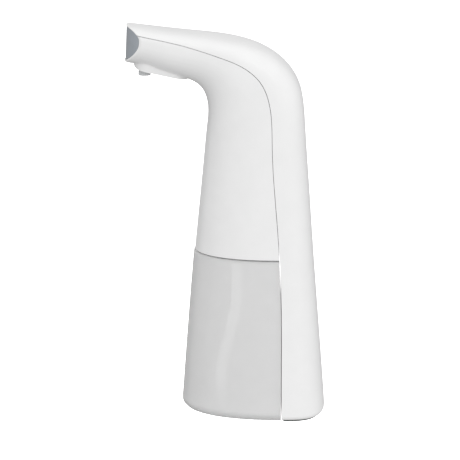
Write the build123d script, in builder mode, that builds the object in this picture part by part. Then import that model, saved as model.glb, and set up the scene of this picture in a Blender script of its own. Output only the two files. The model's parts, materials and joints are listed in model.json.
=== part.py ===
"""Counter-top automatic foaming soap dispenser: a swan-neck housing on a removable tank.

Millimetres. Z is up, the spout points to -Y, and the origin is on the counter under the tank.
"""

import math
import os

from build123d import *

# ---------------------------------------------------------------- driving dimensions
# Stations of the swan-neck body, from the counter to past the spout's tip. Each is the inner (front) point
# and the outer (back) point of a cross-section in the middle plane, as y, z, y, z, then its half width.
STATIONS = [
    (-43.1, 0.0, 42.2, 0.0, 37.2),
    (-39.1, 48.5, 38.7, 48.5, 34.3),
    (-34.8, 97.0, 35.0, 97.0, 31.3),
    (-30.6, 139.0, 32.1, 140.0, 28.3),
    (-27.4, 172.0, 29.8, 174.0, 25.9),
    (-26.8, 182.0, 28.6, 187.0, 25.0),
    (-28.0, 189.2, 25.4, 197.8, 24.1),
    (-32.1, 195.2, 15.3, 210.6, 22.8),
    (-38.5, 198.7, 0.5, 219.0, 21.2),
    (-47.0, 201.3, -18.0, 223.6, 19.6),
    (-60.0, 205.3, -43.0, 226.6, 17.6),
    (-69.0, 208.2, -62.0, 228.9, 16.2),
    (-71.5, 209.3, -69.5, 229.7, 15.6),
    (-77.0, 215.0, -77.0, 230.6, 15.0),
]
WIDEST = 0.68  # where a section is widest, as a share of its depth from the front
FRONT_EXPONENT = 2.15  # superellipse exponents: a round front and a squarer back
BACK_EXPONENT = 3.3
SECTION_POINTS = 18  # on each half of a section
SECTIONS = 20

WALL = 2.0
PART_GAP = 0.25  # visible line between the two shells
FOOT_HEIGHT = 1.0
FLOOR_TOP = 3.2  # floor of the rear shell
REAR_BOTTOM_RADIUS = 2.4
FOOT_INSET = 2.8
FOOT_WIDTH = 2.4

# The parting line of the front and rear shells in the middle plane (y, z), and on past the tip.
SEAM = [
    (16.2, -6.0),
    (16.2, 36.0),
    (15.8, 78.0),
    (13.3, 121.0),
    (10.6, 163.0),
    (9.0, 188.0),
    (4.4, 200.0),
    (-5.0, 208.8),
    (-20.0, 215.0),
    (-38.0, 220.3),
    (-56.0, 224.2),
    (-84.0, 229.0),
]

# tank and its cap
TANK_TOP = 96.4
SHELL_BOTTOM = 97.1
TANK_PROUD = 0.55  # the tank's shoulder stands out from the shell above it
TANK_WALL = 2.2
TANK_FLOOR = 3.0
TANK_BOTTOM_RADIUS = 5.5
TANK_TOP_RADIUS = 1.6
TANK_BACK_GAP = 0.35
NECK_Y = -10.0  # axis of the filler neck, the cap and the suction spigot
NECK_RADIUS = 16.0
NECK_BORE = 14.0
NECK_TOP = 102.9
LUG_REACH = 1.2
LUG_BOTTOM = 99.7
LUG_TOP = 101.2
COLLAR_RADIUS = 19.0
COLLAR_BORE = 17.5
COLLAR_BOTTOM = 97.4
COLLAR_TOP = 107.0
COLLAR_LIP_TOP = 99.35
BODY_CLEARANCE = 0.3  # between pieces that move past each other
GASKET_TOP = 103.9
INSERT_TOP = 107.9
SOCKET_RADIUS = 3.88
SOCKET_BOTTOM = 96.5
DIP_RADIUS = 3.1
DIP_PATH = [(0, NECK_Y, 91.8), (0, NECK_Y, 62.0), (0, -19.5, 24.0), (0, -19.5, 6.0)]
DIP_BENDS = [50, 45]

# spout, key and sensor
TIP_Y = -74.5  # apex of the spout's rounded end
TIP_RADIUS = 18.4
TIP_CHORD = 2.0  # how far in front of the end's centre its arc stops
TIP_TILT = 2.4  # degrees, lower edge further forward
TIP_Z = 220.0
RIM = (1.0, 0.6, 0.7)  # the wall at the tip, round the key: below, above, at the sides
RIM_ROOT = (1.6, 1.2, 1.0)  # the wall one station further back
KEY_GAP = 0.3
KEY_RECESS = 0.3
KEY_THICK = 2.2
KEY_BACK = TIP_Y + KEY_RECESS + KEY_THICK
SWITCH_Z = 221.3
SWITCH_FRONT = -70.6
SWITCH_BACK = -67.4
PLUNGER_RADIUS = 1.2
PLUNGER_END = -69.2
SWITCH_HOLE_END = -68.2
BOARD_THICK = 1.2
NOZZLE_Y = -63.7
NOZZLE_RADIUS = 3.6
NOZZLE_BOTTOM = 200.5
NOZZLE_SHOULDER = 205.0
NOZZLE_TOP = 209.5
NOZZLE_BARB_TOP = 210.8
NOZZLE_BODY_RADIUS = 4.3
PAD_HALF_WIDTH = 9.0
PAD_FRONT = -70.0
PAD_BACK = -38.6
PAD_FRONT_Z = 204.6  # lowest line of the pad, at its front and at its back
PAD_BACK_Z = 198.4
PAD_NOSE = 3.0
SENSOR_Y = -50.5
SENSOR_SPAN = 7.0  # between the emitter and the receiver
SENSOR_HALF_WIDTH = 2.6
LENS_THICK = 1.2
LED_RADIUS = 1.5
SENSOR_BOARD_Z = 209.0

# pump, motor and hoses
DECK_BOTTOM = 109.5
DECK_TOP = 111.7
PUMP_Y = 10.0
PUMP_RADIUS = 13.5
PUMP_BOTTOM = 122.0
PORT_Z = 126.0
FOAM_PORT_X = 6.9
COVER_TOP = 130.0
VALVE_TOP = 132.5
CAVITY_RADIUS = 11.9
CAVITY_TOP = 150.0
HOUSING_TOP = 151.5
LUG_RING = 14.6
LUG_RADIUS = 2.2
LUG_CEILING = 146.0
MOTOR_RADIUS = 12.1
MOTOR_TOP = 180.5
MOTOR_BOSS_RADIUS = 3.0
SHAFT_RADIUS = 1.0
SHAFT_BOTTOM = 147.6
SHAFT_TOP = 183.0
RUNNING_CLEARANCE = 0.05
ECCENTRIC_RADIUS = 4.5
ECCENTRIC_BOTTOM = 145.0
ECCENTRIC_TOP = 149.2
WOBBLE_TILT = 8.0
WOBBLE_Z = 141.0
WOBBLE_THICK = 1.8
WOBBLE_PIN_RADIUS = 0.75
WOBBLE_PIN_LENGTH = 6.0
CUP_RADIUS = 3.6
CUP_RING = 6.2
CUP_TOP = 138.4
BARB_RADIUS = 2.0
BARB_BORE = 1.2
HOSE_RADIUS = 3.2
HOSE_BORE = 2.05
SUCTION_PATH = [(0, -3.6, PORT_Z), (0, NECK_Y, PORT_Z), (0, NECK_Y, 112.7)]
SUCTION_BENDS = [3.8]
FOAM_PATH = [
    (FOAM_PORT_X, -3.0, PORT_Z),
    (FOAM_PORT_X, -12.5, PORT_Z),
    (FOAM_PORT_X, -12.5, 200.0),
    (0, -30.0, 213.2),
    (0, NOZZLE_Y, 214.6),
    (0, NOZZLE_Y, 209.6),
]
FOAM_BENDS = [4.4, 16, 14, 3.6]

# boards, battery bay and leads
BOARD_Y = 24.6
MAIN_BOARD_THICK = 1.6
BOARD_HALF_WIDTH = 15.0
BOARD_BOTTOM = 116.0
BOARD_TOP = 164.0
BOARD_SCREWS = [(-11.0, 120.0, 32.4), (11.0, 120.0, 32.4), (-11.0, 160.0, 30.0), (11.0, 160.0, 30.0)]
FRONT_BOSS = (23.4, 0.0)
REAR_BOSS = (19.0, 21.0)
BOSS_RADIUS = 3.0
BOSS_HEIGHT = 9.0
BOSS_RIB_END = {FRONT_BOSS: 27.8, REAR_BOSS: 28.2}
SCREW_RADIUS = 1.25
CELL_RADIUS = 5.25
CELL_LENGTH = 44.5
CELL_PITCH = 11.4
CELL_COUNT = 4
CELL_Y = 25.5
CELL_BOTTOM = 6.2
TRAY_BOTTOM = 4.6
TRAY_TOP = 54.5
TRAY_ROOF = 2.0
CONTACT_THICK = 0.5
DOOR_CENTRE_Y = 25.9
DOOR_WIDTH = 53.0
DOOR_DEPTH = 14.6
DOOR_GAP = 0.35
DOOR_BOTTOM = 1.2
CELL_CAP = 1.0  # the raised contact at one end of a cell
CELL_CAP_RADIUS = 1.9
LEAD_RADIUS = 0.75


# ---------------------------------------------------------------- the swan-neck body
def even_stations(stations, count):
    """Stations evenly spaced along the body, on smooth lines through the given ones."""
    distances = [0.0]
    for before, after in zip(stations, stations[1:]):
        step_y = (after[0] + after[2] - before[0] - before[2]) / 2
        step_z = (after[1] + after[3] - before[1] - before[3]) / 2
        distances.append(distances[-1] + math.hypot(step_y, step_z))
    shares = [distance / distances[-1] for distance in distances]
    fronts = Edge.make_spline([Vector(w, fy, fz) for fy, fz, _, _, w in stations], parameters=shares)
    backs = Edge.make_spline([Vector(0, by, bz) for _, _, by, bz, _ in stations], parameters=shares)
    result = []
    for step in range(count):
        share = step / (count - 1)
        front = fronts.position_at(share, PositionMode.PARAMETER)
        back = backs.position_at(share, PositionMode.PARAMETER)
        result.append((front.Y, front.Z, back.Y, back.Z, front.X))
    return result


def section_plane(station):
    """The plane of a cross-section: local x runs from front to back, and the origin is at its widest."""
    front_y, front_z, back_y, back_z, _ = station
    depth = math.hypot(back_y - front_y, back_z - front_z)
    along_y = (back_y - front_y) / depth
    along_z = (back_z - front_z) / depth
    origin = (0, front_y + WIDEST * depth * along_y, front_z + WIDEST * depth * along_z)
    return Plane(origin=origin, x_dir=(0, along_y, along_z), z_dir=(0, -along_z, along_y))


def section_points(station, inset):
    """Half of the superellipse, from back to front, moved in by inset = (front, back, side)."""
    front_y, front_z, back_y, back_z, half_width = station
    depth = math.hypot(back_y - front_y, back_z - front_z)
    front_in, back_in, side_in = inset
    points = []
    for step in range(SECTION_POINTS + 1):
        angle = math.pi * step / SECTION_POINTS
        along, across = math.cos(angle), math.sin(angle)
        behind = along >= 0
        exponent = 2 / (BACK_EXPONENT if behind else FRONT_EXPONENT)
        reach = (1 - WIDEST) * depth - back_in if behind else WIDEST * depth - front_in
        x = math.copysign(abs(along) ** exponent, along) * reach
        y = abs(across) ** exponent * (half_width - side_in) if 0 < step < SECTION_POINTS else 0
        points.append((x, y))
    return points


def body_loft(stations, insets):
    """A solid through the stations, with one inset for each, made as a half and its mirror image."""
    with BuildPart() as body:
        for station, inset in zip(stations, insets):
            points = section_points(station, inset)
            with BuildSketch(section_plane(station)):
                with BuildLine():
                    Spline(*points, tangents=[(0, 1), (0, -1)])
                    Line(points[-1], points[0])
                make_face()
        loft()
        mirror(about=Plane.YZ)
    return body.part


def same(value, stations):
    """The same inset all round, for every station."""
    return [(value, value, value)] * len(stations)


def behind_seam(shift, bottom):
    """Everything behind and above the seam, which is moved by shift in y and in z."""
    moved = [(y + shift, z + shift) for y, z in SEAM]
    last_y, last_z = moved[-1]
    with BuildPart() as region:
        with BuildSketch(Plane.YZ):
            with BuildLine():
                Spline(*moved)
                Polyline((last_y, last_z), (last_y, 260), (70, 260), (70, moved[0][1]), moved[0])
            make_face()
        extrude(amount=60, both=True)
        with BuildSketch(Plane.XY.offset(bottom)):
            Rectangle(200, 200)
        extrude(amount=-60, mode=Mode.SUBTRACT)
    return region.part


def slab(bottom, top):
    """All space between two heights."""
    with BuildPart() as block:
        with BuildSketch(Plane.XY.offset(bottom)):
            Rectangle(200, 260)
        extrude(amount=top - bottom)
    return block.part


def tip_trim(recess):
    """Everything behind the spout's rounded end, or behind a surface parallel to it."""
    lean = math.radians(TIP_TILT)
    face = Plane(origin=(0, 0, TIP_Z), x_dir=(1, 0, 0), z_dir=(0, math.sin(lean), math.cos(lean)))
    radius = TIP_RADIUS - recess
    centre = TIP_Y + TIP_RADIUS
    chord = centre - TIP_CHORD
    side = math.sqrt(radius**2 - TIP_CHORD**2)
    with BuildPart() as region:
        with BuildSketch(face):
            with BuildLine():
                ThreePointArc((-side, chord), (0, centre - radius), (side, chord))
                Polyline((side, chord), (70, chord), (70, 90), (-70, 90), (-70, chord), (-side, chord))
            make_face()
        extrude(amount=240, both=True)
    return region.part


def tube(path, bends, radius, bore=0.0):
    """A hose or lead along straight runs joined by arcs."""
    with BuildPart() as hose:
        with BuildLine() as line:
            if bends:
                FilletPolyline(*path, radius=bends)
            else:
                Polyline(*path)
        with BuildSketch(Plane(origin=line.line @ 0, z_dir=line.line % 0)):
            Circle(radius)
            if bore:
                Circle(bore, mode=Mode.SUBTRACT)
        sweep(path=line.line)
    return hose.part


def stadium(length, half_width, centre_y):
    """A slot shape that runs along Y, in the current sketch."""
    with Locations((0, centre_y)):
        SlotOverall(length, 2 * half_width, rotation=90)


def boss_at(spot, side):
    """A screw boss on the deck with a rib to the shell's side wall, side being -1 or 1."""
    x, y = spot
    rib_end = BOSS_RIB_END[spot]
    with BuildPart() as boss:
        with BuildSketch(Plane.XY.offset(DECK_TOP)):
            with Locations((side * x, y)):
                Circle(BOSS_RADIUS)
            with Locations((side * (x + rib_end) / 2, y)):
                Rectangle(rib_end - x, 3)
        extrude(amount=BOSS_HEIGHT)
        with BuildSketch(Plane.XY.offset(DECK_TOP)):
            with Locations((side * x, y)):
                Circle(SCREW_RADIUS + RUNNING_CLEARANCE)
        extrude(amount=BOSS_HEIGHT - 1, mode=Mode.SUBTRACT)
    return boss.part


EVEN_STATIONS = even_stations(STATIONS, SECTIONS)


def inner_insets(extra):
    """Insets of the shells' inner face, which comes out to a thin rim at the tip, and more by extra."""
    insets = same(WALL, EVEN_STATIONS[:-2]) + [RIM_ROOT, RIM]
    return [tuple(value + extra for value in inset) for inset in insets]


OUTER = body_loft(EVEN_STATIONS, same(0, EVEN_STATIONS))
INNER = body_loft(EVEN_STATIONS, inner_insets(0))
TRIM = tip_trim(0)
REAR_REGION = behind_seam(0, FOOT_HEIGHT)
SEAM_CUT = behind_seam(-PART_GAP, -6)
PAD_LENGTH = PAD_BACK - PAD_FRONT
PAD_CENTRE = (PAD_FRONT + PAD_BACK) / 2
LOWER_STATIONS = STATIONS[:4]
INSIDE_LOWER = body_loft(LOWER_STATIONS, same(WALL + PART_GAP, LOWER_STATIONS))

# ---------------------------------------------------------------- rear shell
with BuildPart() as rear_shell:
    add(OUTER)
    add(REAR_REGION, mode=Mode.INTERSECT)
    add(TRIM, mode=Mode.INTERSECT)
    outer_rim = rear_shell.faces().sort_by(Axis.Z)[0].edges().filter_by(lambda edge: edge.center().Y > 18)
    fillet(outer_rim, REAR_BOTTOM_RADIUS)
    add(INNER & slab(FLOOR_TOP, 260), mode=Mode.SUBTRACT)
    with BuildSketch(Plane.XY):
        with Locations((0, DOOR_CENTRE_Y)):
            RectangleRounded(DOOR_WIDTH, DOOR_DEPTH, 3)
    extrude(amount=FLOOR_TOP + 0.5, mode=Mode.SUBTRACT)
    for side in (-1, 1):
        add(boss_at(REAR_BOSS, side))
    for x, z, wall_y in BOARD_SCREWS:
        boss_plane = Plane(origin=(x, BOARD_Y + MAIN_BOARD_THICK, z), x_dir=(1, 0, 0), z_dir=(0, 1, 0))
        with BuildSketch(boss_plane):
            Circle(LUG_RADIUS)
        extrude(amount=wall_y - BOARD_Y - MAIN_BOARD_THICK)
        with BuildSketch(boss_plane):
            Circle(0.9)
        extrude(amount=3, mode=Mode.SUBTRACT)
rear_shell.part.label = "rear_shell"

# ---------------------------------------------------------------- front shell
with BuildPart() as front_shell:
    add(OUTER)
    add(slab(SHELL_BOTTOM, 260), mode=Mode.INTERSECT)
    add(SEAM_CUT, mode=Mode.SUBTRACT)
    add(TRIM, mode=Mode.INTERSECT)
    add(INNER, mode=Mode.SUBTRACT)
    with BuildSketch(Plane.XY.offset(190)):
        stadium(PAD_LENGTH + 0.3, PAD_HALF_WIDTH + 0.15, PAD_CENTRE)
    extrude(amount=22, mode=Mode.SUBTRACT)
    for side in (-1, 1):
        add(boss_at(FRONT_BOSS, side))
front_shell.part.label = "front_shell"

# ---------------------------------------------------------------- spine cover and pump deck
with BuildPart() as spine_cover:
    add(INSIDE_LOWER)
    add(behind_seam(0.35, FLOOR_TOP + 0.1), mode=Mode.INTERSECT)
    add(behind_seam(1.85, -6), mode=Mode.SUBTRACT)
    add(slab(0, DECK_BOTTOM - 0.1), mode=Mode.INTERSECT)
spine_cover.part.label = "spine_cover"

DECK_SCREW_SPOTS = [(side * x, y) for x, y in (FRONT_BOSS, REAR_BOSS) for side in (-1, 1)]
with BuildPart() as pump_deck:
    add(INSIDE_LOWER)
    add(slab(DECK_BOTTOM, DECK_TOP), mode=Mode.INTERSECT)
    with BuildSketch(Plane.XY.offset(DECK_BOTTOM)):
        with Locations((0, NECK_Y)):
            Circle(4.1)
        with Locations(*DECK_SCREW_SPOTS):
            Circle(1.5)
        with Locations((0, 29)):
            SlotOverall(16, 3.6)
    extrude(amount=DECK_TOP - DECK_BOTTOM, mode=Mode.SUBTRACT)
pump_deck.part.label = "pump_deck"

with BuildPart() as deck_screws:
    with BuildSketch(Plane.XY.offset(DECK_BOTTOM - 1.8)):
        with Locations(*DECK_SCREW_SPOTS):
            Circle(2.6)
    extrude(amount=1.8)
    with BuildSketch(Plane.XY.offset(DECK_BOTTOM)):
        with Locations(*DECK_SCREW_SPOTS):
            Circle(SCREW_RADIUS)
    extrude(amount=9.5)
    with BuildSketch(Plane.XY.offset(DECK_BOTTOM - 1.8)):
        with Locations(*DECK_SCREW_SPOTS):
            Rectangle(2.8, 0.6)
            Rectangle(0.6, 2.8)
    extrude(amount=1.0, mode=Mode.SUBTRACT)
deck_screws.part.label = "deck_screws"

with BuildPart() as base_foot:
    add(body_loft(EVEN_STATIONS[:3], same(FOOT_INSET, EVEN_STATIONS[:3])))
    add(body_loft(EVEN_STATIONS[:3], same(FOOT_INSET + FOOT_WIDTH, EVEN_STATIONS[:3])), mode=Mode.SUBTRACT)
    add(slab(0, FOOT_HEIGHT), mode=Mode.INTERSECT)
    add(behind_seam(1.0, -6), mode=Mode.INTERSECT)
base_foot.part.label = "base_foot"

# ---------------------------------------------------------------- tank
def tank_insets(extra):
    """Insets that widen the tank towards its shoulder."""
    insets = []
    for station in LOWER_STATIONS:
        height = (station[1] + station[3]) / 2
        insets.append((extra - TANK_PROUD * min(height / TANK_TOP, 1.1),) * 3)
    return insets


with BuildPart() as tank_hollow:
    add(body_loft(LOWER_STATIONS, tank_insets(TANK_WALL)))
    add(slab(TANK_FLOOR, TANK_TOP - TANK_WALL), mode=Mode.INTERSECT)
    add(behind_seam(-TANK_BACK_GAP - TANK_WALL, -6), mode=Mode.SUBTRACT)
    fillet(tank_hollow.faces().sort_by(Axis.Z)[0].edges().filter_by(lambda edge: edge.center().Y < 10), 3)

with BuildPart() as tank:
    add(body_loft(LOWER_STATIONS, tank_insets(0)))
    add(slab(0, TANK_TOP), mode=Mode.INTERSECT)
    add(behind_seam(-TANK_BACK_GAP, -6), mode=Mode.SUBTRACT)
    bottom_rim = tank.faces().sort_by(Axis.Z)[0].edges().filter_by(lambda edge: edge.center().Y < 10)
    fillet(bottom_rim, TANK_BOTTOM_RADIUS)
    top_rim = tank.faces().sort_by(Axis.Z)[-1].edges().filter_by(lambda edge: edge.center().Y < 10)
    fillet(top_rim, TANK_TOP_RADIUS)
    add(tank_hollow.part, mode=Mode.SUBTRACT)
    neck_plane = Plane.XY.offset(TANK_TOP - TANK_WALL)
    with BuildSketch(neck_plane):
        with Locations((0, NECK_Y)):
            Circle(NECK_RADIUS)
    extrude(amount=NECK_TOP - TANK_TOP + TANK_WALL)
    with BuildSketch(Plane.XY.offset(LUG_BOTTOM)):
        with Locations((0, NECK_Y)):
            Circle(NECK_RADIUS + LUG_REACH)
            Rectangle(60, 12, mode=Mode.INTERSECT)
    extrude(amount=LUG_TOP - LUG_BOTTOM)
    with BuildSketch(neck_plane):
        with Locations((0, NECK_Y)):
            Circle(NECK_BORE)
    extrude(amount=20, mode=Mode.SUBTRACT)
tank.part.label = "tank"

with BuildPart() as cap_gasket:
    with BuildSketch(Plane.XY.offset(NECK_TOP)):
        with Locations((0, NECK_Y)):
            Circle(NECK_RADIUS - 0.1)
            Circle(NECK_BORE - 0.1, mode=Mode.SUBTRACT)
    extrude(amount=GASKET_TOP - NECK_TOP)
cap_gasket.part.label = "cap_gasket"

with BuildPart() as cap_insert:
    with BuildSketch(Plane.XY.offset(GASKET_TOP)):
        with Locations((0, NECK_Y)):
            Circle(NECK_RADIUS - 0.2)
    extrude(amount=0.8)
    with BuildSketch(Plane.XY.offset(97)):
        with Locations((0, NECK_Y)):
            Circle(NECK_BORE - 0.2)
            Circle(NECK_BORE - 1.5, mode=Mode.SUBTRACT)
    extrude(amount=GASKET_TOP - 97)
    with BuildSketch(Plane.XY.offset(92)):
        with Locations((0, NECK_Y)):
            Circle(5.2)
    extrude(amount=GASKET_TOP - 92)
    with BuildSketch(Plane.XY.offset(GASKET_TOP)):
        with Locations((0, NECK_Y)):
            Circle(6.5)
    extrude(amount=INSERT_TOP - GASKET_TOP)
    with BuildSketch(Plane.XY.offset(87)):
        with Locations((0, NECK_Y)):
            Circle(BARB_RADIUS)
    extrude(amount=5)
    with BuildSketch(Plane.XY.offset(SOCKET_BOTTOM)):
        with Locations((0, NECK_Y)):
            Circle(SOCKET_RADIUS)
    extrude(amount=INSERT_TOP - SOCKET_BOTTOM, mode=Mode.SUBTRACT)
    with BuildSketch(Plane.XY.offset(87)):
        with Locations((0, NECK_Y)):
            Circle(BARB_BORE)
    extrude(amount=SOCKET_BOTTOM - 87, mode=Mode.SUBTRACT)
cap_insert.part.label = "cap_insert"

FLUTES = 24
with BuildPart() as cap_collar:
    with BuildSketch(Plane.XY.offset(COLLAR_BOTTOM)):
        with Locations((0, NECK_Y)):
            Circle(COLLAR_RADIUS)
            with PolarLocations(COLLAR_RADIUS + 0.35, FLUTES):
                Circle(0.9, mode=Mode.SUBTRACT)
    extrude(amount=COLLAR_TOP - COLLAR_BOTTOM)
    with BuildSketch(Plane.XY.offset(COLLAR_BOTTOM)):
        with Locations((0, NECK_Y)):
            Circle(NECK_RADIUS + BODY_CLEARANCE)
    extrude(amount=GASKET_TOP + 1.1 - COLLAR_BOTTOM, mode=Mode.SUBTRACT)
    with BuildSketch(Plane.XY.offset(COLLAR_LIP_TOP)):
        with Locations((0, NECK_Y)):
            Circle(COLLAR_BORE)
    extrude(amount=GASKET_TOP + 1.1 - COLLAR_LIP_TOP, mode=Mode.SUBTRACT)
    with BuildSketch(Plane.XY.offset(COLLAR_BOTTOM)):
        with Locations((0, NECK_Y)):
            Circle(COLLAR_BORE)
            Rectangle(13, 60, mode=Mode.INTERSECT)
    extrude(amount=COLLAR_LIP_TOP - COLLAR_BOTTOM, mode=Mode.SUBTRACT)
    with BuildSketch(Plane.XY.offset(COLLAR_TOP)):
        with Locations((0, NECK_Y)):
            Circle(9)
    extrude(amount=-5, mode=Mode.SUBTRACT)
cap_collar.part.label = "cap_collar"

with BuildPart() as dip_tube:
    add(tube(DIP_PATH, DIP_BENDS, DIP_RADIUS, HOSE_BORE))
dip_tube.part.label = "dip_tube"

STRAINER_Y = DIP_PATH[-1][1]
with BuildPart() as tube_strainer:
    with BuildSketch(Plane.XY.offset(4.2)):
        with Locations((0, STRAINER_Y)):
            Circle(4.6)
    extrude(amount=8)
    with BuildSketch(Plane.XY.offset(6.0)):
        with Locations((0, STRAINER_Y)):
            Circle(DIP_RADIUS + RUNNING_CLEARANCE)
    extrude(amount=8, mode=Mode.SUBTRACT)
    with BuildSketch(Plane.XY.offset(4.2)):
        with Locations((0, STRAINER_Y)):
            Rectangle(10, 1)
            Rectangle(1, 10)
    extrude(amount=1.8, mode=Mode.SUBTRACT)
    with BuildSketch(Plane.XY.offset(5.2)):
        with Locations((0, STRAINER_Y)):
            Circle(2)
    extrude(amount=1, mode=Mode.SUBTRACT)
tube_strainer.part.label = "tube_strainer"

# ---------------------------------------------------------------- suction spigot and hoses
with BuildPart() as suction_spigot:
    for bottom, top, radius in (
        (98.0, DECK_BOTTOM - 1.2, 3.5),
        (DECK_BOTTOM - 1.2, DECK_BOTTOM, 8.0),
        (DECK_BOTTOM, 112.5, 4.0),
        (112.5, 117.0, BARB_RADIUS),
    ):
        with BuildSketch(Plane.XY.offset(bottom)):
            with Locations((0, NECK_Y)):
                Circle(radius)
        extrude(amount=top - bottom)
    with BuildSketch(Plane.XY.offset(101)):
        with Locations((0, NECK_Y)):
            Circle(3.5)
            Circle(2.6, mode=Mode.SUBTRACT)
    extrude(amount=1.8, mode=Mode.SUBTRACT)
    with BuildSketch(Plane.XY.offset(98)):
        with Locations((0, NECK_Y)):
            Circle(BARB_BORE)
    extrude(amount=20, mode=Mode.SUBTRACT)
suction_spigot.part.label = "suction_spigot"

with BuildPart() as spigot_o_ring:
    with BuildSketch(Plane.XZ.offset(-NECK_Y)):
        with Locations((3.21, 101.9)):
            Circle(0.6)
    revolve(axis=Axis((0, NECK_Y, 0), (0, 0, 1)))
spigot_o_ring.part.label = "spigot_o_ring"

with BuildPart() as suction_hose:
    add(tube(SUCTION_PATH, SUCTION_BENDS, HOSE_RADIUS, HOSE_BORE))
suction_hose.part.label = "suction_hose"

with BuildPart() as foam_hose:
    add(tube(FOAM_PATH, FOAM_BENDS, HOSE_RADIUS, HOSE_BORE))
foam_hose.part.label = "foam_hose"

# ---------------------------------------------------------------- pump


def pump_layer(bottom, top, lug_top):
    """A round layer of the pump with its four screw lugs, bored for the screws."""
    with BuildPart() as layer:
        with BuildSketch(Plane.XY.offset(bottom)):
            with Locations((0, PUMP_Y)):
                Circle(PUMP_RADIUS)
        extrude(amount=top - bottom)
        with BuildSketch(Plane.XY.offset(bottom)):
            with Locations((0, PUMP_Y)):
                with PolarLocations(LUG_RING, 4, start_angle=45):
                    Circle(LUG_RADIUS)
        extrude(amount=lug_top - bottom)
        with BuildSketch(Plane.XY.offset(bottom)):
            with Locations((0, PUMP_Y)):
                with PolarLocations(LUG_RING, 4, start_angle=45):
                    Circle(1.0 + RUNNING_CLEARANCE)
        extrude(amount=lug_top - bottom, mode=Mode.SUBTRACT)
    return layer.part


with BuildPart() as pump_cover:
    add(pump_layer(PUMP_BOTTOM, COVER_TOP, COVER_TOP))
    for port_x, port_end in ((0.0, -5.9), (FOAM_PORT_X, -7.0)):
        port_plane = Plane(origin=(port_x, 0, PORT_Z), x_dir=(1, 0, 0), z_dir=(0, -1, 0))
        with BuildSketch(port_plane):
            Circle(BARB_RADIUS)
        extrude(amount=-port_end)
        with BuildSketch(port_plane):
            Circle(BARB_BORE)
        extrude(amount=-port_end, mode=Mode.SUBTRACT)
pump_cover.part.label = "pump_cover"

with BuildPart() as valve_plate:
    add(pump_layer(COVER_TOP, VALVE_TOP, VALVE_TOP))
    with BuildSketch(Plane.XY.offset(COVER_TOP)):
        with Locations((0, PUMP_Y)):
            with PolarLocations(CUP_RING, 3, start_angle=90):
                Circle(1.0)
    extrude(amount=VALVE_TOP - COVER_TOP, mode=Mode.SUBTRACT)
valve_plate.part.label = "valve_plate"

with BuildPart() as diaphragm:
    with BuildSketch(Plane.XY.offset(VALVE_TOP)):
        with Locations((0, PUMP_Y)):
            Circle(CAVITY_RADIUS - 0.1)
    extrude(amount=1.5)
    with BuildSketch(Plane.XY.offset(VALVE_TOP + 1.5)):
        with Locations((0, PUMP_Y)):
            with PolarLocations(CUP_RING, 3, start_angle=90):
                Circle(CUP_RADIUS)
    extrude(amount=CUP_TOP - VALVE_TOP - 1.5, taper=8)
diaphragm.part.label = "diaphragm"

with BuildPart() as pump_housing:
    add(pump_layer(VALVE_TOP, HOUSING_TOP, LUG_CEILING))
    with BuildSketch(Plane.XY.offset(VALVE_TOP)):
        with Locations((0, PUMP_Y)):
            Circle(CAVITY_RADIUS)
    extrude(amount=CAVITY_TOP - VALVE_TOP, mode=Mode.SUBTRACT)
    with BuildSketch(Plane.XY.offset(CAVITY_TOP)):
        with Locations((0, PUMP_Y)):
            Circle(MOTOR_BOSS_RADIUS + 0.1)
    extrude(amount=HOUSING_TOP - CAVITY_TOP, mode=Mode.SUBTRACT)
pump_housing.part.label = "pump_housing"

with BuildPart() as pump_screws:
    with BuildSketch(Plane.XY.offset(PUMP_BOTTOM - 1.3)):
        with Locations((0, PUMP_Y)):
            with PolarLocations(LUG_RING, 4, start_angle=45):
                Circle(1.9)
    extrude(amount=1.3)
    with BuildSketch(Plane.XY.offset(PUMP_BOTTOM)):
        with Locations((0, PUMP_Y)):
            with PolarLocations(LUG_RING, 4, start_angle=45):
                Circle(1.0)
    extrude(amount=22)
pump_screws.part.label = "pump_screws"

with BuildPart() as pump_damper:
    with BuildSketch(Plane.XY.offset(DECK_TOP)):
        with Locations((0, PUMP_Y)):
            Circle(12.3)
            Circle(8, mode=Mode.SUBTRACT)
    extrude(amount=PUMP_BOTTOM - DECK_TOP)
    with BuildSketch(Plane.XY.offset(DECK_TOP + 3)):
        with Locations((0, PUMP_Y)):
            Circle(12.3)
            Circle(11.0, mode=Mode.SUBTRACT)
    extrude(amount=4, mode=Mode.SUBTRACT)
pump_damper.part.label = "pump_damper"

with BuildPart() as motor:
    for bottom, top, radius in (
        (CAVITY_TOP + 0.2, HOUSING_TOP, MOTOR_BOSS_RADIUS),
        (HOUSING_TOP, MOTOR_TOP, MOTOR_RADIUS),
        (MOTOR_TOP, MOTOR_TOP + 1.5, MOTOR_BOSS_RADIUS),
    ):
        with BuildSketch(Plane.XY.offset(bottom)):
            with Locations((0, PUMP_Y)):
                Circle(radius)
        extrude(amount=top - bottom)
    with BuildSketch(Plane.XY.offset(CAVITY_TOP)):
        with Locations((0, PUMP_Y)):
            Circle(SHAFT_RADIUS + RUNNING_CLEARANCE)
    extrude(amount=40, mode=Mode.SUBTRACT)
motor.part.label = "motor"

with BuildPart() as rotor_shaft:
    with BuildSketch(Plane.XY.offset(SHAFT_BOTTOM)):
        with Locations((0, PUMP_Y)):
            Circle(SHAFT_RADIUS)
    extrude(amount=SHAFT_TOP - SHAFT_BOTTOM)
rotor_shaft.part.label = "rotor_shaft"

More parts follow.
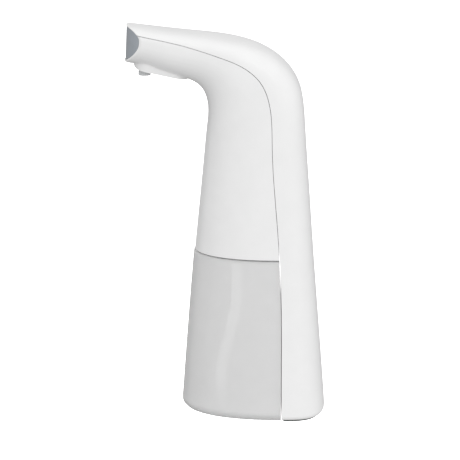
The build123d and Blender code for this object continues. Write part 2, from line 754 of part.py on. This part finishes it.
LEAN = math.radians(WOBBLE_TILT)
WOBBLE_PLANE = Plane(
    origin=(0, PUMP_Y, WOBBLE_Z), x_dir=(0, 1, 0), z_dir=(math.sin(LEAN), 0, math.cos(LEAN))
)
with BuildPart() as eccentric:
    with BuildSketch(Plane.XY.offset(ECCENTRIC_BOTTOM)):
        with Locations((0, PUMP_Y)):
            Circle(ECCENTRIC_RADIUS)
    extrude(amount=ECCENTRIC_TOP - ECCENTRIC_BOTTOM)
    with BuildSketch(Plane.XY.offset(SHAFT_BOTTOM)):
        with Locations((0, PUMP_Y)):
            Circle(SHAFT_RADIUS)
    extrude(amount=5, mode=Mode.SUBTRACT)
    with BuildSketch(WOBBLE_PLANE):
        Circle(WOBBLE_PIN_RADIUS + RUNNING_CLEARANCE)
    extrude(amount=WOBBLE_PIN_LENGTH + 0.4, mode=Mode.SUBTRACT)
eccentric.part.label = "eccentric"

with BuildPart() as wobble_plate:
    with BuildSketch(WOBBLE_PLANE.offset(-WOBBLE_THICK / 2)):
        Circle(4)
        with PolarLocations(CUP_RING, 3):
            Circle(2.3)
        with PolarLocations(CUP_RING / 2, 3):
            Rectangle(CUP_RING, 2.6)
    extrude(amount=WOBBLE_THICK)
    with BuildSketch(WOBBLE_PLANE):
        Circle(WOBBLE_PIN_RADIUS)
    extrude(amount=WOBBLE_PIN_LENGTH)
wobble_plate.part.label = "wobble_plate"

# ---------------------------------------------------------------- key and its switch
with BuildPart() as power_key:
    add(body_loft(EVEN_STATIONS, inner_insets(KEY_GAP)))
    add(tip_trim(KEY_RECESS), mode=Mode.INTERSECT)
    add(tip_trim(KEY_RECESS + KEY_THICK), mode=Mode.SUBTRACT)
power_key.part.label = "power_key"


def facing_front(y, z=SWITCH_Z):
    """A plane that faces the spout's tip."""
    return Plane(origin=(0, y, z), x_dir=(1, 0, 0), z_dir=(0, -1, 0))


with BuildPart() as switch_plunger:
    with BuildSketch(facing_front(PLUNGER_END)):
        Circle(PLUNGER_RADIUS)
    extrude(amount=PLUNGER_END - KEY_BACK - 0.2)
switch_plunger.part.label = "switch_plunger"

with BuildPart() as key_switch:
    with BuildSketch(facing_front(SWITCH_BACK)):
        RectangleRounded(5.6, 5.6, 0.5)
    extrude(amount=SWITCH_BACK - SWITCH_FRONT)
    with BuildSketch(facing_front(SWITCH_HOLE_END)):
        Circle(PLUNGER_RADIUS + RUNNING_CLEARANCE)
    extrude(amount=SWITCH_HOLE_END - SWITCH_FRONT, mode=Mode.SUBTRACT)
key_switch.part.label = "key_switch"

with BuildPart() as key_board:
    with BuildSketch(facing_front(SWITCH_BACK + BOARD_THICK)):
        with Locations((0, 0.3)):
            Rectangle(17, 6.6)
    extrude(amount=BOARD_THICK)
key_board.part.label = "key_board"

# ---------------------------------------------------------------- pad, nozzle and sensor
PAD_SLOPE = (PAD_BACK_Z - PAD_FRONT_Z) / (PAD_BACK - PAD_FRONT - PAD_NOSE)


def pad_bottom(y):
    """Height of the pad's lower face."""
    return PAD_FRONT_Z + PAD_SLOPE * (y - PAD_FRONT - PAD_NOSE)


def pad_prism(thickness):
    """The space above the pad's lower face, to a face parallel to it."""
    front_low = pad_bottom(PAD_FRONT)
    back_low = pad_bottom(PAD_BACK + 2)
    with BuildPart() as prism:
        with BuildSketch(Plane.YZ):
            Polygon(
                (PAD_FRONT - 1, front_low), (PAD_BACK + 2, back_low),
                (PAD_BACK + 2, back_low + thickness), (PAD_FRONT - 1, front_low + thickness),
                align=None,
            )
        extrude(amount=20, both=True)
    return prism.part


with BuildPart() as nozzle_cover:
    with BuildSketch(Plane.XY.offset(190)):
        stadium(PAD_LENGTH, PAD_HALF_WIDTH, PAD_CENTRE)
    extrude(amount=30)
    with BuildSketch(Plane.YZ):
        with BuildLine():
            low = (PAD_FRONT + PAD_NOSE, PAD_FRONT_Z)
            Line((PAD_BACK + 1, pad_bottom(PAD_BACK + 1)), low)
            TangentArc(low, (PAD_FRONT, PAD_FRONT_Z + PAD_NOSE + 0.9), tangent=(-1, -PAD_SLOPE))
            Polyline(
                (PAD_FRONT, PAD_FRONT_Z + PAD_NOSE + 0.9), (PAD_FRONT, 211.0),
                (PAD_BACK + 1, 203.6), (PAD_BACK + 1, pad_bottom(PAD_BACK + 1)),
            )
        make_face()
    extrude(amount=20, both=True, mode=Mode.INTERSECT)
    with BuildSketch(Plane.XY.offset(190)):
        with Locations((0, NOZZLE_Y)):
            Circle(NOZZLE_RADIUS + 0.15)
        stadium(SENSOR_SPAN + 2 * SENSOR_HALF_WIDTH + 0.2, SENSOR_HALF_WIDTH + 0.1, SENSOR_Y)
    extrude(amount=30, mode=Mode.SUBTRACT)
    with BuildSketch(Plane.XY.offset(NOZZLE_SHOULDER - 0.1)):
        with Locations((0, NOZZLE_Y)):
            Circle(NOZZLE_BODY_RADIUS + 0.15)
    extrude(amount=20, mode=Mode.SUBTRACT)
nozzle_cover.part.label = "nozzle_cover"

with BuildPart() as sensor_window:
    with BuildSketch(Plane.XY.offset(190)):
        stadium(SENSOR_SPAN + 2 * SENSOR_HALF_WIDTH, SENSOR_HALF_WIDTH, SENSOR_Y)
    extrude(amount=30)
    add(pad_prism(LENS_THICK), mode=Mode.INTERSECT)
sensor_window.part.label = "sensor_window"


def sensor_led(y):
    """A round infrared part that hangs from the sensor board."""
    tip = pad_bottom(y) + LENS_THICK + 0.9
    with BuildPart() as led:
        with BuildSketch(Plane.XY.offset(SENSOR_BOARD_Z)):
            with Locations((0, y)):
                Circle(LED_RADIUS)
        extrude(amount=tip - SENSOR_BOARD_Z)
        fillet(led.faces().sort_by(Axis.Z)[0].edges(), 1.2)
    return led.part


with BuildPart() as ir_emitter:
    add(sensor_led(SENSOR_Y - SENSOR_SPAN / 2))
ir_emitter.part.label = "ir_emitter"

with BuildPart() as ir_receiver:
    add(sensor_led(SENSOR_Y + SENSOR_SPAN / 2))
ir_receiver.part.label = "ir_receiver"

with BuildPart() as sensor_board:
    with BuildSketch(Plane.XY.offset(SENSOR_BOARD_Z)):
        with Locations((0, SENSOR_Y)):
            RectangleRounded(16, 15.5, 1)
    extrude(amount=BOARD_THICK)
sensor_board.part.label = "sensor_board"

with BuildPart() as foam_nozzle:
    for bottom, top, radius, mode in (
        (NOZZLE_BOTTOM, NOZZLE_SHOULDER, NOZZLE_RADIUS, Mode.ADD),
        (NOZZLE_SHOULDER, NOZZLE_TOP, NOZZLE_BODY_RADIUS, Mode.ADD),
        (NOZZLE_TOP, NOZZLE_BARB_TOP, BARB_RADIUS, Mode.ADD),
        (NOZZLE_BOTTOM, 204.0, 2.4, Mode.SUBTRACT),
        (204.0, 208.7, 3.3, Mode.SUBTRACT),
        (208.0, NOZZLE_BARB_TOP, BARB_BORE, Mode.SUBTRACT),
    ):
        with BuildSketch(Plane.XY.offset(bottom)):
            with Locations((0, NOZZLE_Y)):
                Circle(radius)
        extrude(amount=top - bottom, mode=mode)
foam_nozzle.part.label = "foam_nozzle"

with BuildPart() as foam_screens:
    for screen_z in (205.0, 207.6):
        with BuildSketch(Plane.XY.offset(screen_z)):
            with Locations((0, NOZZLE_Y)):
                Circle(3.2)
                with GridLocations(0.9, 0.9, 5, 5):
                    Rectangle(0.6, 0.6, mode=Mode.SUBTRACT)
        extrude(amount=0.4)
foam_screens.part.label = "foam_screens"

# ---------------------------------------------------------------- control board and leads
with BuildPart() as control_board:
    board_plane = Plane(origin=(0, BOARD_Y, 0), x_dir=(-1, 0, 0), z_dir=(0, 1, 0))
    board_middle = (BOARD_BOTTOM + BOARD_TOP) / 2
    with BuildSketch(board_plane):
        with Locations((0, board_middle)):
            RectangleRounded(2 * BOARD_HALF_WIDTH, BOARD_TOP - BOARD_BOTTOM, 1)
        with Locations(*[(x, z) for x, z, _ in BOARD_SCREWS]):
            Circle(1.1, mode=Mode.SUBTRACT)
    extrude(amount=MAIN_BOARD_THICK)
    with BuildSketch(board_plane.offset(MAIN_BOARD_THICK)):
        with Locations((0, 146)):
            Rectangle(9, 7)
        with Locations((-7, 133)):
            Rectangle(4, 3)
        with Locations((7, 133)):
            Rectangle(6, 5)
    extrude(amount=1.3)
control_board.part.label = "control_board"

with BuildPart() as board_screws:
    for x, z, _ in BOARD_SCREWS:
        head_plane = Plane(origin=(x, BOARD_Y, z), x_dir=(-1, 0, 0), z_dir=(0, 1, 0))
        with BuildSketch(head_plane):
            Circle(1.6)
        extrude(amount=-1.1)
        with BuildSketch(head_plane):
            Circle(0.85)
        extrude(amount=4)
board_screws.part.label = "board_screws"

with BuildPart() as battery_leads:
    for x in (-4, 4):
        lead_end = BOARD_Y + MAIN_BOARD_THICK + 0.05
        add(tube([(x, 29, TRAY_TOP), (x, 29, 122), (x, lead_end, 122)], [1.5], LEAD_RADIUS))
battery_leads.part.label = "battery_leads"

with BuildPart() as motor_leads:
    for x in (3, 7):
        lead_y = BOARD_Y + MAIN_BOARD_THICK / 2
        path = [(x, 17.5, MOTOR_TOP), (x, 17.5, 186), (x, lead_y, 186), (x, lead_y, BOARD_TOP)]
        add(tube(path, [3, 3], LEAD_RADIUS))
motor_leads.part.label = "motor_leads"

RIBBON_EDGE = 11.0  # clears the back of the curved key
RIBBON_WIDTH = 7.0
RIBBON_LINE = [
    (25.6, BOARD_TOP + 0.1),
    (25.0, 188.0),
    (13.5, 206.0),
    (0.0, 214.6),
    (-18.0, 219.8),
    (-43.0, 222.2),
    (SWITCH_BACK + BOARD_THICK + 0.05, 222.9),
]
with BuildPart() as ribbon_cable:
    with BuildSketch(Plane.YZ.offset(-RIBBON_EDGE)):
        with BuildLine() as ribbon_line:
            FilletPolyline(*RIBBON_LINE, radius=[14, 14, 24, 40, 40])
            offset(amount=0.3, side=Side.LEFT)
        make_face()
    extrude(amount=RIBBON_WIDTH)
ribbon_cable.part.label = "ribbon_cable"

# ---------------------------------------------------------------- battery bay
CELL_SPOTS = [((index - (CELL_COUNT - 1) / 2) * CELL_PITCH, CELL_Y) for index in range(CELL_COUNT)]
with BuildPart() as battery_tray:
    with BuildSketch(Plane.XY.offset(TRAY_BOTTOM)):
        with Locations((0, CELL_Y)):
            tray_outline = Rectangle(48.4, 13.4)
        chamfer(tray_outline.vertices().group_by(Axis.Y)[-1], 3)
    extrude(amount=TRAY_TOP - TRAY_BOTTOM)
    with BuildSketch(Plane.XY.offset(TRAY_BOTTOM)):
        with Locations(*CELL_SPOTS):
            Rectangle(CELL_PITCH - 0.6, 11.2)
    extrude(amount=TRAY_TOP - TRAY_ROOF - TRAY_BOTTOM, mode=Mode.SUBTRACT)
battery_tray.part.label = "battery_tray"

with BuildPart() as batteries:
    for index, (x, y) in enumerate(CELL_SPOTS):
        cap_up = index % 2 == 1
        can_bottom = CELL_BOTTOM if cap_up else CELL_BOTTOM + CELL_CAP
        cap_bottom = CELL_BOTTOM + CELL_LENGTH - CELL_CAP if cap_up else CELL_BOTTOM
        with BuildSketch(Plane.XY.offset(can_bottom)):
            with Locations((x, y)):
                Circle(CELL_RADIUS)
        extrude(amount=CELL_LENGTH - CELL_CAP)
        with BuildSketch(Plane.XY.offset(cap_bottom)):
            with Locations((x, y)):
                Circle(CELL_CAP_RADIUS)
        extrude(amount=CELL_CAP)
batteries.part.label = "batteries"

with BuildPart() as upper_contacts:
    for x, y in CELL_SPOTS:
        with BuildSketch(Plane.XY.offset(TRAY_TOP - TRAY_ROOF)):
            with Locations((x, y)):
                RectangleRounded(8, 8, 1)
        extrude(amount=-CONTACT_THICK)
        with BuildSketch(Plane.XY.offset(TRAY_TOP - TRAY_ROOF - CONTACT_THICK)):
            with Locations((x, y)):
                Circle(2.2)
        extrude(amount=-1.25, taper=20)
upper_contacts.part.label = "upper_contacts"

with BuildPart() as battery_door:
    with BuildSketch(Plane.XY.offset(DOOR_BOTTOM)):
        with Locations((0, DOOR_CENTRE_Y)):
            RectangleRounded(DOOR_WIDTH - 2 * DOOR_GAP, DOOR_DEPTH - 2 * DOOR_GAP, 2.6)
    extrude(amount=FLOOR_TOP - DOOR_BOTTOM)
    with BuildSketch(Plane.XY.offset(DOOR_BOTTOM + 0.6)):
        with Locations((0, DOOR_CENTRE_Y)):
            RectangleRounded(DOOR_WIDTH, DOOR_DEPTH, 2.9)
            RectangleRounded(DOOR_WIDTH - 2.2, DOOR_DEPTH - 2.2, 2, mode=Mode.SUBTRACT)
    extrude(amount=0.8, mode=Mode.SUBTRACT)
    with BuildSketch(Plane.XY.offset(DOOR_BOTTOM)):
        with Locations((0, DOOR_CENTRE_Y)):
            SlotOverall(14, 4)
    extrude(amount=0.8, mode=Mode.SUBTRACT)
battery_door.part.label = "battery_door"

with BuildPart() as door_seal:
    with BuildSketch(Plane.XY.offset(DOOR_BOTTOM + 0.62)):
        with Locations((0, DOOR_CENTRE_Y)):
            RectangleRounded(DOOR_WIDTH - 0.2, DOOR_DEPTH - 0.2, 2.8)
            RectangleRounded(DOOR_WIDTH - 2.1, DOOR_DEPTH - 2.1, 2, mode=Mode.SUBTRACT)
    extrude(amount=0.76)
door_seal.part.label = "door_seal"

SPRING_COILS = [(2.9, 4.1), (2.3, 4.75), (1.7, 5.4)]
with BuildPart() as door_contacts:
    with BuildSketch(Plane.XY.offset(FLOOR_TOP)):
        for pair in (CELL_SPOTS[:2], CELL_SPOTS[2:]):
            with Locations(((pair[0][0] + pair[1][0]) / 2, CELL_Y)):
                RectangleRounded(19, 7.5, 1)
    extrude(amount=CONTACT_THICK)
    for x, y in CELL_SPOTS:
        for coil_radius, coil_z in SPRING_COILS:
            with Locations((x, y, coil_z)):
                Torus(coil_radius, 0.45)
door_contacts.part.label = "door_contacts"

os.makedirs("parts", exist_ok=True)
PIECES = (
    front_shell, rear_shell, spine_cover, pump_deck, deck_screws, base_foot,
    tank, cap_gasket, cap_insert, cap_collar, dip_tube, tube_strainer,
    suction_spigot, spigot_o_ring, suction_hose, foam_hose,
    pump_cover, valve_plate, diaphragm, pump_housing, pump_screws, pump_damper,
    motor, rotor_shaft, eccentric, wobble_plate,
    power_key, switch_plunger, key_switch, key_board,
    nozzle_cover, sensor_window, ir_emitter, ir_receiver, sensor_board, foam_nozzle, foam_screens,
    control_board, board_screws, battery_leads, motor_leads, ribbon_cable,
    battery_tray, batteries, upper_contacts, battery_door, door_seal, door_contacts,
)
for piece in PIECES:
    export_step(piece.part, f"parts/{piece.part.label}.step")
print("tank holds", round(tank_hollow.part.volume / 1000), "ml")
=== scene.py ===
"""Looks for the counter-top automatic soap dispenser: materials, light, floor and camera.

Metres. Z is up, the spout points to -Y, and the camera looks along -X.
"""

import json
import math

import bpy
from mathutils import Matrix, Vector


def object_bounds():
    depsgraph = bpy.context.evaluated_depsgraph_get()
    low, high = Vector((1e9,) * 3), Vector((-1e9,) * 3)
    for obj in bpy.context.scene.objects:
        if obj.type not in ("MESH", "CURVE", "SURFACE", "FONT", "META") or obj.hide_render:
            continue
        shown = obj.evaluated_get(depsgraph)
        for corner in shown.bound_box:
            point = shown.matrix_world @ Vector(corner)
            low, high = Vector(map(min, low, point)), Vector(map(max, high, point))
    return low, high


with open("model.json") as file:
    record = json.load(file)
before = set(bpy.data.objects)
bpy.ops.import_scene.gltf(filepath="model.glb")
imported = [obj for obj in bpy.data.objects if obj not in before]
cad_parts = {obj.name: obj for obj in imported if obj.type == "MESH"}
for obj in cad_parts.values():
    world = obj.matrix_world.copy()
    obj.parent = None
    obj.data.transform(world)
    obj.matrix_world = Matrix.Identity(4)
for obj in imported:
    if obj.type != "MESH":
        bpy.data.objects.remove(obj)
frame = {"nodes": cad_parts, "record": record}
cad_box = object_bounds()

NODES = frame["nodes"]


# ---------------------------------------------------------------- materials
WHITE = (1, 1, 1, 1)
MOTTLE_ENDS = (0.35, 0.65)  # the noise values where the darker and the lighter colour are reached
GLOSS_SPREAD = 0.1  # roughness varies by this share, both ways, over a surface
GRAIN_DEPTH = 0.0002


def new_material(name):
    """A node material and its Principled shader."""
    material = bpy.data.materials.new(name)
    material.use_nodes = True
    return material, material.node_tree, material.node_tree.nodes["Principled BSDF"]


def add_node(tree, kind, **inputs):
    """A shader node with its named inputs set."""
    node = tree.nodes.new(kind)
    for key, value in inputs.items():
        node.inputs[key.replace("_", " ")].default_value = value
    return node


def mottled(tree, low, high, scale):
    """A colour that varies gently between two near ones, with its noise and the place that drives it."""
    place = tree.nodes.new("ShaderNodeNewGeometry")
    noise = add_node(tree, "ShaderNodeTexNoise", Scale=scale, Detail=3.0)
    ramp = tree.nodes.new("ShaderNodeValToRGB")
    for stop, position, colour in zip(ramp.color_ramp.elements, MOTTLE_ENDS, (low, high)):
        stop.position = position
        stop.color = (*colour, 1)
    tree.links.new(place.outputs["Position"], noise.inputs["Vector"])
    tree.links.new(noise.outputs["Fac"], ramp.inputs["Fac"])
    return ramp.outputs["Color"], noise.outputs["Fac"], place.outputs["Position"]


def surface(name, low, high, roughness, scale=90.0, grain=900.0, bump=0.04, metallic=0.0, coat=0.0):
    """A moulded or metal surface: gentle colour change, uneven gloss and a fine grain."""
    material, tree, shader = new_material(name)
    colour, fac, position = mottled(tree, low, high, scale)
    tree.links.new(colour, shader.inputs["Base Color"])
    duller, glossier = roughness * (1 + GLOSS_SPREAD), roughness * (1 - GLOSS_SPREAD)
    gloss = add_node(tree, "ShaderNodeMapRange", To_Min=glossier, To_Max=duller)
    tree.links.new(fac, gloss.inputs["Value"])
    tree.links.new(gloss.outputs["Result"], shader.inputs["Roughness"])
    grain_noise = add_node(tree, "ShaderNodeTexNoise", Scale=grain, Detail=2.0)
    tree.links.new(position, grain_noise.inputs["Vector"])
    bump_node = add_node(tree, "ShaderNodeBump", Strength=bump, Distance=GRAIN_DEPTH)
    tree.links.new(grain_noise.outputs["Fac"], bump_node.inputs["Height"])
    tree.links.new(bump_node.outputs["Normal"], shader.inputs["Normal"])
    shader.inputs["Metallic"].default_value = metallic
    shader.inputs["Coat Weight"].default_value = coat
    return material


def translucent(name, colour, roughness, transmission, ior=1.45):
    """A frosted or clear plastic that light passes through."""
    darker = [channel * 0.985 for channel in colour]
    material = surface(name, darker, colour, roughness, grain=700.0, bump=0.1)
    shader = material.node_tree.nodes["Principled BSDF"]
    shader.inputs["Transmission Weight"].default_value = transmission
    shader.inputs["IOR"].default_value = ior
    return material


def glowing(material, strength):
    """The same material with a white light of its own: on the milky tube a painted glow that stands in for
    the light the frosted tank carries to it, on the floor an even white.
    """
    shader = material.node_tree.nodes["Principled BSDF"]
    shader.inputs["Emission Color"].default_value = WHITE
    shader.inputs["Emission Strength"].default_value = strength
    return material


MATERIALS = {
    "white_shell": surface("satin_white_shell", (0.835, 0.835, 0.835), (0.85, 0.85, 0.85), 0.32, bump=0.02),
    "frosted_tank": translucent("frosted_tank_plastic", (0.95, 0.95, 0.95), 0.14, 0.36, ior=1.3),
    "white_inner": surface("white_inner_plastic", (0.74, 0.74, 0.73), (0.78, 0.78, 0.77), 0.5),
    "cap_plastic": surface("blue_grey_cap", (0.22, 0.27, 0.31), (0.27, 0.32, 0.36), 0.45),
    "clear_plastic": translucent("clear_nozzle_plastic", (0.92, 0.93, 0.94), 0.25, 0.6),
    "soft_grey_rubber": surface("dark_rubber", (0.055, 0.065, 0.06), (0.08, 0.09, 0.085), 0.75, bump=0.2),
    # painted light: the hose's faint emission is a painted glow, standing in for the light that the frosted
    # tank carries to the dip tube
    "clear_hose": glowing(surface("milky_hose_painted_glow", (0.93, 0.93, 0.93), (0.96, 0.96, 0.96), 0.35), 0.4),
    "key_window": surface("smoked_key_window", (0.30, 0.33, 0.365), (0.34, 0.37, 0.405), 0.3, coat=0.5),
    "dark_window": surface("infrared_window", (0.008, 0.008, 0.012), (0.014, 0.012, 0.018), 0.12),
    "board_green": surface("solder_mask", (0.01, 0.10, 0.04), (0.015, 0.14, 0.06), 0.35),
    "black_plastic": surface("black_moulding", (0.015, 0.015, 0.017), (0.025, 0.025, 0.028), 0.4),
    "led_clear": translucent("led_epoxy", (0.80, 0.84, 0.95), 0.1, 0.7),
    "pump_plastic": surface("natural_acetal", (0.66, 0.65, 0.60), (0.72, 0.71, 0.66), 0.45),
    "wobble_plastic": surface("white_acetal", (0.58, 0.58, 0.55), (0.64, 0.64, 0.60), 0.4),
    "zinc_steel": surface("zinc_plated_steel", (0.50, 0.50, 0.47), (0.60, 0.60, 0.58), 0.3, metallic=1.0),
    "motor_steel": surface("plated_motor_can", (0.42, 0.43, 0.44), (0.52, 0.53, 0.54), 0.28, metallic=1.0),
    "shaft_steel": surface("ground_shaft_steel", (0.55, 0.55, 0.55), (0.65, 0.65, 0.65), 0.18, metallic=1.0),
    "fine_mesh": surface("nylon_mesh", (0.70, 0.70, 0.70), (0.78, 0.78, 0.78), 0.5),
    "cell_wrap": surface("cell_sleeve", (0.03, 0.06, 0.12), (0.05, 0.09, 0.17), 0.3, metallic=0.4),
    "ribbon": surface("flat_cable_film", (0.65, 0.65, 0.62), (0.72, 0.72, 0.69), 0.35),
}

for part in frame["record"]["subparts"]:
    node = NODES[part["node"]]
    node.data.materials.clear()
    node.data.materials.append(MATERIALS[part["material_slot"]])

# ---------------------------------------------------------------- floor and light
FLOOR_Z = -0.12  # below the 110 mm that the tank travels, so it stays in sight when it is pulled off
FLOOR_SIZE = 40.0  # so wide that the horizon is low in a level view
bpy.ops.mesh.primitive_plane_add(size=FLOOR_SIZE, location=(0, 0, FLOOR_Z))
floor = bpy.context.object
floor.name = "floor"
pale_floor = surface("pale_floor", (0.93, 0.93, 0.93), (0.95, 0.95, 0.95), 0.8, scale=3)
floor.data.materials.append(glowing(pale_floor, 1.0))
floor.visible_diffuse = False  # the studio light stands for what a pale floor would throw back
floor.visible_glossy = False
floor.visible_transmission = False


def aim(thing, target):
    """Turn a light or a camera from its place towards a point."""
    thing.rotation_euler = (target - thing.location).to_track_quat("-Z", "Y").to_euler()


MIDDLE = (Vector(cad_box[0]) + Vector(cad_box[1])) / 2
lamp_data = bpy.data.lights.new("key", "AREA")
lamp_data.shape = "SQUARE"
lamp_data.size = 0.5
lamp_data.energy = 1.0
lamp = bpy.data.objects.new("key", lamp_data)
lamp.location = (1.2, 0.5, 1.0)
aim(lamp, MIDDLE)
bpy.context.collection.objects.link(lamp)

LIGHT_LEVEL = 0.74  # the studio's middle brightness
LIGHT_SLOPE = (0.33, 0.12, 0.36)  # how much brighter it is towards +X, +Y and +Z

world = bpy.data.worlds.new("studio")
bpy.context.scene.world = world
world.use_nodes = True
world_tree = world.node_tree
direction = world_tree.nodes.new("ShaderNodeTexCoord")
slope = world_tree.nodes.new("ShaderNodeVectorMath")
slope.operation = "DOT_PRODUCT"
slope.inputs[1].default_value = LIGHT_SLOPE
level = world_tree.nodes.new("ShaderNodeMath")
level.operation = "ADD"
level.inputs[1].default_value = LIGHT_LEVEL
world_tree.links.new(direction.outputs["Generated"], slope.inputs[0])
world_tree.links.new(slope.outputs["Value"], level.inputs[0])
world_tree.links.new(level.outputs["Value"], world_tree.nodes["Background"].inputs["Strength"])
world_tree.nodes["Background"].inputs["Color"].default_value = WHITE
bpy.context.scene.view_settings.view_transform = "Standard"

# ---------------------------------------------------------------- camera
CAMERA_DISTANCE = 1.6
CAMERA_ELEVATION = math.radians(14)
TARGET = Vector((0, 0, 0.116))
FRAME_SHIFT_X = -0.05217  # shares of the frame's width
FRAME_SHIFT_Y = -0.03109

towards_camera = Vector((math.cos(CAMERA_ELEVATION), 0, math.sin(CAMERA_ELEVATION)))
camera_data = bpy.data.cameras.new("camera")
camera_data.sensor_width = 36
camera_data.lens = 212.4
camera_data.shift_x = FRAME_SHIFT_X
camera_data.shift_y = FRAME_SHIFT_Y
camera = bpy.data.objects.new("camera", camera_data)
camera.location = TARGET + CAMERA_DISTANCE * towards_camera
aim(camera, TARGET)
bpy.context.collection.objects.link(camera)
bpy.context.scene.camera = camera
